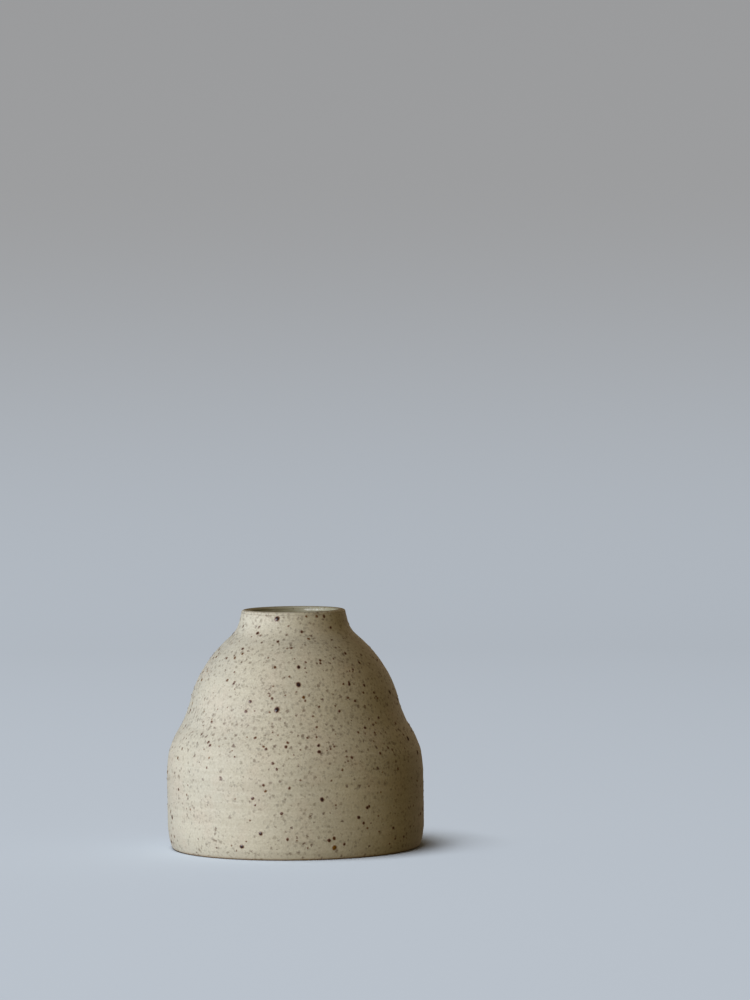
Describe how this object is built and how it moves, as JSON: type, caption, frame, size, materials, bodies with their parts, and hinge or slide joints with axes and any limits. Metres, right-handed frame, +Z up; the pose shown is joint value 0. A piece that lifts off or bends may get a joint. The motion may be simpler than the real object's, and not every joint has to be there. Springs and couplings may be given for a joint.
{
  "type": "bud vase",
  "caption": "Small round stoneware bud vase with a straight belly, a soft waist, a domed shoulder and a short open neck.",
  "frame": {"origin": "centre of the foot, in the plane that the vase stands on", "axes": "+Z up along the axis of the vase; +X and +Y are any two horizontal directions, because the vase is round"},
  "size_m": [0.0864, 0.0864, 0.08],
  "materials": {
    "toasted_clay": "bare fired stoneware, toasted brown, dry and slightly gritty",
    "matte_glaze": "satin matte oatmeal glaze with iron speckles",
    "glossy_glaze": "glossy grey-green liner glaze"
  },
  "bodies": {
    "root": {"stoneware_body": "toasted_clay", "matte_glaze_coat": "matte_glaze", "liner_glaze": "glossy_glaze"}
  },
  "joints": []
}
